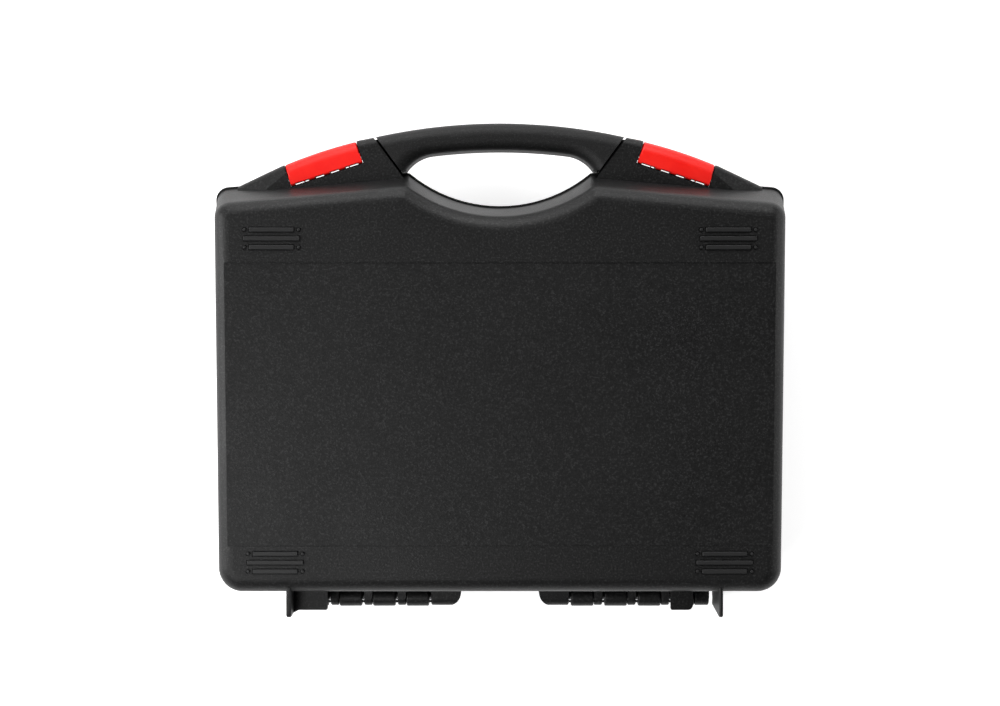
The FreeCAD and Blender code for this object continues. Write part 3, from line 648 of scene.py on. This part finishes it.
def screw_thread(tree, given):
    """A ridge that winds round the core."""
    depth = math_node(tree, "SUBTRACT", given["Thread Radius"], given["Shank Radius"])
    reach = math_node(tree, "MULTIPLY", depth, thread_reach)
    middle = math_node(tree, "SUBTRACT", given["Thread Radius"], reach)
    run = math_node(tree, "SUBTRACT", given["Length"], given["Pitch"])
    turns = math_node(tree, "DIVIDE", run, given["Pitch"])
    path = add_node(
        tree,
        "GeometryNodeCurveSpiral",
        {"Resolution": thread_steps},
        Rotations=turns,
        Start_Radius=middle,
        End_Radius=middle,
        Height=run,
    )
    ridge = add_node(
        tree, "GeometryNodeCurvePrimitiveCircle", {"Resolution": thread_sides}, Radius=reach
    )
    thread = add_node(
        tree,
        "GeometryNodeCurveToMesh",
        {"Fill Caps": True},
        Curve=path.outputs["Curve"],
        Profile_Curve=ridge.outputs["Curve"],
    )
    half_pitch = math_node(tree, "MULTIPLY", given["Pitch"], 0.5)
    return moved_up(tree, thread.outputs["Mesh"], half_pitch)


def softened(tree, geometry):
    """Smooth shading, with an edge kept sharp where its faces meet at a steep angle."""
    smooth = add_node(tree, "GeometryNodeSetShadeSmooth", Geometry=geometry)
    angle = tree.nodes.new("GeometryNodeInputMeshEdgeAngle")
    steep = math_node(tree, "GREATER_THAN", angle.outputs["Unsigned Angle"], crease_angle)
    sharp = add_node(
        tree,
        "GeometryNodeSetShadeSmooth",
        {"domain": "EDGE", "Shade Smooth": False},
        Geometry=smooth.outputs["Geometry"],
        Selection=steep,
    )
    return sharp.outputs["Geometry"]


def screw_tree(labels):
    """Geometry Nodes that stand a screw on each point: its seat at the point, its thread up."""
    tree = bpy.data.node_groups.new("Handle screws", "GeometryNodeTree")
    tree.is_modifier = True
    add_socket = tree.interface.new_socket
    add_socket("Geometry", in_out="INPUT", socket_type="NodeSocketGeometry")
    for label in labels:
        add_socket(label, in_out="INPUT", socket_type="NodeSocketFloat")
    add_socket("Material", in_out="INPUT", socket_type="NodeSocketMaterial")
    add_socket("Geometry", in_out="OUTPUT", socket_type="NodeSocketGeometry")
    given = tree.nodes.new("NodeGroupInput").outputs
    end = tree.nodes.new("NodeGroupOutput")
    whole = tree.nodes.new("GeometryNodeJoinGeometry")
    for part in (screw_head(tree, given), screw_shank(tree, given), screw_thread(tree, given)):
        tree.links.new(part, whole.inputs["Geometry"])
    placed = add_node(
        tree,
        "GeometryNodeInstanceOnPoints",
        Points=given["Geometry"],
        Instance=softened(tree, whole.outputs["Geometry"]),
    )
    real = add_node(tree, "GeometryNodeRealizeInstances", Geometry=placed.outputs["Instances"])
    dressed = add_node(
        tree,
        "GeometryNodeSetMaterial",
        Geometry=real.outputs["Geometry"],
        Material=given["Material"],
    )
    tree.links.new(dressed.outputs["Geometry"], end.inputs["Geometry"])
    return tree


def screw_seats(head_height, gap):
    """The seat of each screw, read from the CAD screws, which stand apart along X."""
    spots = sorted(tuple(vertex.co) for vertex in nodes["handle_screws"].data.vertices)
    clusters = [[spots[0]]]
    for before, spot in zip(spots, spots[1:]):
        if spot[0] - before[0] > gap:
            clusters.append([])
        clusters[-1].append(spot)
    seats = []
    for cluster in clusters:
        xs, ys, zs = zip(*cluster)
        middle = [(min(values) + max(values)) / 2 for values in (xs, ys)]
        seats.append((*middle, min(zs) + head_height))
    return seats, max(spot[2] for spot in spots) - seats[0][2]


def make_screws(material):
    """The four handle screws as one mesh."""
    sizes = settings("screws")
    seats, shank_length = screw_seats(sizes.head_height, sizes.head_radius)
    values = {
        "Head Radius": sizes.head_radius,
        "Head Height": sizes.head_height,
        "Dome Radius": sizes.dome_radius,
        "Shank Radius": sizes.shank_radius,
        "Thread Radius": sizes.thread_radius,
        "Pitch": sizes.pitch,
        "Length": shank_length,
        "Socket Width": sizes.socket_width,
        "Socket Span": sizes.socket_span,
        "Socket Depth": sizes.socket_depth,
    }
    tree = screw_tree(list(values))
    points = bpy.data.meshes.new("screw_seats")
    points.from_pydata(seats, [], [])
    screws = bpy.data.objects.new("handle_screw_set", points)
    bpy.context.scene.collection.objects.link(screws)
    modifier = screws.modifiers.new("Screws", "NODES")
    modifier.node_group = tree
    values["Material"] = material
    for socket in tree.interface.items_tree:
        if socket.in_out == "INPUT" and socket.name in values:
            modifier[socket.identifier] = values[socket.name]
    graph = bpy.context.evaluated_depsgraph_get()
    finished = bpy.data.meshes.new_from_object(screws.evaluated_get(graph))
    screws.modifiers.remove(modifier)
    screws.data = finished
    return screws


# Operators

class TOOLCASE_OT_shells(bpy.types.Operator):
    """Dress the lid and the base in grained black plastic"""

    bl_idname = "tool_case.shells"
    bl_label = "Shells"

    def execute(self, context):
        dress(["lid_shell", "base_shell"], shell_plastic())
        return {"FINISHED"}


class TOOLCASE_OT_handle(bpy.types.Operator):
    """Dress the two halves of the handle"""

    bl_idname = "tool_case.handle"
    bl_label = "Handle"

    def execute(self, context):
        dress(["handle_upper_half", "handle_lower_half"], handle_plastic())
        return {"FINISHED"}


class TOOLCASE_OT_latches(bpy.types.Operator):
    """Dress both latches in smooth red plastic"""

    bl_idname = "tool_case.latches"
    bl_label = "Latches"

    def execute(self, context):
        dress(["left_latch", "right_latch"], latch_plastic())
        return {"FINISHED"}


class TOOLCASE_OT_pins(bpy.types.Operator):
    """Dress the wire pins of hinge and latches"""

    bl_idname = "tool_case.pins"
    bl_label = "Pins"

    def execute(self, context):
        finish = settings("steel")
        names = ["left_hinge_pin", "right_hinge_pin", "left_latch_pin", "right_latch_pin"]
        dress(names, steel("pin_steel", finish.pin_grey, finish.roughness))
        return {"FINISHED"}


class TOOLCASE_OT_screws(bpy.types.Operator):
    """Make the four screws that hold the handle halves together"""

    bl_idname = "tool_case.screws"
    bl_label = "Handle screws"

    def execute(self, context):
        finish = settings("steel")
        screws = make_screws(steel("screw_steel", finish.screw_grey, finish.roughness))
        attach(screws, "base")
        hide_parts("handle_screws")
        return {"FINISHED"}


class TOOLCASE_OT_stage(bpy.types.Operator):
    """Set up the pale floor, the soft lamps, the world and the camera"""

    bl_idname = "tool_case.stage"
    bl_label = "Stage"

    def execute(self, context):
        make_floor()
        make_world()
        for lamp in lamps:
            make_lamp(*lamp)
        make_camera()
        context.scene.view_settings.view_transform = "Standard"
        return {"FINISHED"}


def seen_directly(tree):
    """One for rays that come straight, or by gloss or glass, from the camera."""
    path = tree.nodes.new("ShaderNodeLightPath")
    glossy = math_node(
        tree, "MAXIMUM", path.outputs["Is Glossy Ray"], path.outputs["Is Transmission Ray"]
    )
    return math_node(tree, "MAXIMUM", path.outputs["Is Camera Ray"], glossy)


def make_floor():
    """The pale floor, a little self-lit where the camera sees it."""
    stage = settings("stage")
    mesh = bpy.data.meshes.new("floor")
    half = stage.floor_size / 2
    corners = [(-half, -half, 0), (half, -half, 0), (half, half, 0), (-half, half, 0)]
    mesh.from_pydata(corners, [], [(0, 1, 2, 3)])
    floor = bpy.data.objects.new("floor", mesh)
    bpy.context.scene.collection.objects.link(floor)
    material, tree, shader, _ = new_material("pale_floor")
    shader.inputs["Base Color"].default_value = opaque(stage.floor_colour)
    shader.inputs["Roughness"].default_value = 1
    shader.inputs["Specular IOR Level"].default_value = 0
    shader.inputs["Emission Color"].default_value = opaque(white)
    glow = math_node(tree, "MULTIPLY", seen_directly(tree), stage.floor_glow)
    tree.links.new(glow, shader.inputs["Emission Strength"])
    mesh.materials.append(material)


def make_world():
    """White all round for the camera, and softer light, dimmer above, for the object."""
    stage = settings("stage")
    world = bpy.data.worlds.new("studio")
    world.use_nodes = True
    bpy.context.scene.world = world
    tree = world.node_tree
    background = next(n for n in tree.nodes if n.type == "BACKGROUND")
    direction = tree.nodes.new("ShaderNodeTexCoord").outputs["Generated"]
    axes = tree.nodes.new("ShaderNodeSeparateXYZ")
    tree.links.new(direction, axes.inputs["Vector"])
    light_range = (stage.world_light, stage.world_light * stage.ceiling_light)
    level = stretched(tree, axes.outputs["Z"], fade_range, light_range)
    path = tree.nodes.new("ShaderNodeLightPath")
    strength = math_node(tree, "MAXIMUM", level, path.outputs["Is Camera Ray"])
    background.inputs["Color"].default_value = opaque(white)
    tree.links.new(strength, background.inputs["Strength"])


def make_lamp(name, place, size, power):
    """A soft square lamp that points at the case."""
    data = bpy.data.lights.new(name, "AREA")
    data.shape = "SQUARE"
    data.size = size
    data.energy = power
    lamp = bpy.data.objects.new(name, data)
    lamp.location = place
    target = Vector((0, 0, 0))
    lamp.rotation_euler = (Vector(place) - target).to_track_quat("Z", "Y").to_euler()
    bpy.context.scene.collection.objects.link(lamp)


def make_camera():
    """The camera of the photo: straight above, with the handle at the top of the view."""
    stage = settings("stage")
    data = bpy.data.cameras.new("camera")
    data.sensor_width = sensor_width
    data.lens = stage.lens
    camera = bpy.data.objects.new("camera", data)
    camera.location = (0, stage.camera_y, stage.camera_height)
    camera.rotation_euler = (0, 0, math.pi)
    bpy.context.scene.collection.objects.link(camera)
    bpy.context.scene.camera = camera


class TOOLCASE_PT_sidebar(bpy.types.Panel):
    """Buttons for each step of the tool case's looks"""

    bl_idname = "TOOLCASE_PT_sidebar"
    bl_label = "Tool case"
    bl_space_type = "VIEW_3D"
    bl_region_type = "UI"
    bl_category = "Tool case"

    def draw(self, context):
        for step in steps:
            self.layout.operator(step.bl_idname)


groups = {
    "plastic": PlasticFinish,
    "latch": LatchFinish,
    "steel": SteelFinish,
    "screws": ScrewSizes,
    "stage": StageSettings,
}
steps = [
    TOOLCASE_OT_shells,
    TOOLCASE_OT_handle,
    TOOLCASE_OT_latches,
    TOOLCASE_OT_pins,
    TOOLCASE_OT_screws,
    TOOLCASE_OT_stage,
]
classes = [*groups.values(), *steps, TOOLCASE_PT_sidebar]


def register():
    for item in classes:
        bpy.utils.register_class(item)
    for name, group in groups.items():
        setattr(bpy.types.Scene, "tool_case_" + name, PointerProperty(type=group))


def unregister():
    for name in groups:
        delattr(bpy.types.Scene, "tool_case_" + name)
    for item in reversed(classes):
        bpy.utils.unregister_class(item)


def main():
    register()
    for step in steps:
        area, action = step.bl_idname.split(".")
        getattr(getattr(bpy.ops, area), action)()


if __name__ == "__main__":
    main()
